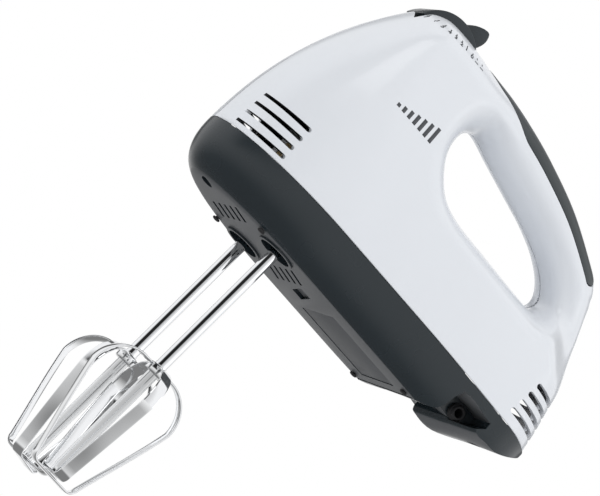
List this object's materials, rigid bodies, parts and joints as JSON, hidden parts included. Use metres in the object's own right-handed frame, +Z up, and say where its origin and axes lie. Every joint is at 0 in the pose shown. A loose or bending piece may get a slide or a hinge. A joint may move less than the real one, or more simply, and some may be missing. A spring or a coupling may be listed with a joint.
{
  "type": "hand mixer",
  "caption": "Hand-held electric mixer with a loop handle, a speed slider, a motor with worm drive and pull-out beaters.",
  "frame": {"origin": "on the flat underside of the base, midway between the two beater axes", "axes": "+Z up through the handle, beaters hang along -Z; nose towards -X, heel towards +X; beaters side by side along Y"},
  "size_m": [0.1918, 0.0816, 0.2545],
  "materials": {
    "white_plastic": "glossy moulded, very light cool grey",
    "dark_plastic": "glossy moulded, charcoal with a green cast",
    "dark_matte": "matte moulded charcoal",
    "rubber": "matte black",
    "chrome": "bright plated",
    "steel": "plain machined or stamped",
    "brass": "sintered or stamped",
    "copper": "enamelled copper wire or copper bar",
    "cast_alloy": "as cast",
    "nylon": "natural nylon",
    "black_plastic": "black, also used for the carbon brushes",
    "board": "green laminate",
    "capacitor": "yellow film capacitor case"
  },
  "bodies": {
    "housing": {"back_bearing": "brass", "back_bracket": "steel", "base_housing": "dark_plastic", "base_screw_back_left": "steel", "base_screw_back_right": "steel", "base_screw_front": "steel", "brush_holder_left": "brass", "brush_holder_right": "brass", "brush_spring_left": "steel", "brush_spring_right": "steel", "carbon_brush_left": "black_plastic", "carbon_brush_right": "black_plastic", "cord_gland": "rubber", "cover_plate": "dark_matte", "field_coil_lower": "copper", "field_coil_upper": "copper", "foot_1": "rubber", "foot_2": "rubber", "foot_3": "rubber", "foot_4": "rubber", "front_bearing": "brass", "front_bracket": "steel", "gear_bush_left_lower": "brass", "gear_bush_left_upper": "brass", "gear_bush_right_lower": "brass", "gear_bush_right_upper": "brass", "gear_frame_lower": "cast_alloy", "gear_frame_upper": "cast_alloy", "grip_strip": "dark_plastic", "middle_bearing": "brass", "noise_capacitor": "capacitor", "rectifier_diode": "black_plastic", "slider_pin": "steel", "spring_shelf": "cast_alloy", "stator_core": "steel", "switch_board": "board", "upper_housing_left": "white_plastic", "upper_housing_right": "white_plastic"},
    "rotor": {"motor_shaft": "steel", "worm": "steel", "armature_core": "steel", "armature_winding": "copper", "commutator": "copper", "cooling_fan": "black_plastic"},
    "left_gear": {"worm_gear_left": "nylon"},
    "right_gear": {"worm_gear_right": "nylon"},
    "left_beater": {"beater_shaft_left": "chrome", "beater_collar_left": "chrome", "beater_loop_left_inner": "chrome", "beater_loop_left_outer": "chrome"},
    "right_beater": {"beater_shaft_right": "chrome", "beater_collar_right": "chrome", "beater_loop_right_inner": "chrome", "beater_loop_right_outer": "chrome"},
    "slider": {"speed_slider": "dark_plastic", "switch_wiper": "copper"},
    "ejector": {"ejector_plate": "nylon", "ejector_spring": "steel"}
  },
  "joints": [
    {"name": "motor_spin", "type": "hinge", "parent": "housing", "child": "rotor", "pos_m": [0, 0, 0.0335], "axis": [1, 0, 0], "continuous": true},
    {"name": "left_gear_spin", "type": "hinge", "parent": "housing", "child": "left_gear", "pos_m": [0, -0.019, 0], "axis": [0, 0, 1], "continuous": true},
    {"name": "right_gear_spin", "type": "hinge", "parent": "housing", "child": "right_gear", "pos_m": [0, 0.019, 0], "axis": [0, 0, 1], "continuous": true},
    {"name": "left_beater_pull", "type": "slide", "parent": "left_gear", "child": "left_beater", "axis": [0, 0, -1], "range_m": [0, 0.045]},
    {"name": "right_beater_pull", "type": "slide", "parent": "right_gear", "child": "right_beater", "axis": [0, 0, -1], "range_m": [0, 0.045]},
    {"name": "speed_slide", "type": "hinge", "parent": "housing", "child": "slider", "pos_m": [-0.0085, 0, 0.105], "axis": [0, -1, 0], "range_deg": [-9, 52]},
    {"name": "ejector_push", "type": "slide", "parent": "housing", "child": "ejector", "axis": [0, 0, -1], "range_m": [0, 0.003], "stiffness_N_per_m": 400, "springref_m": -0.004, "deforming": ["ejector_spring"]}
  ],
  "couplings": [
    {"joint": "left_gear_spin", "follows": "motor_spin", "ratio": 0.045455},
    {"joint": "right_gear_spin", "follows": "motor_spin", "ratio": -0.045455}
  ]
}
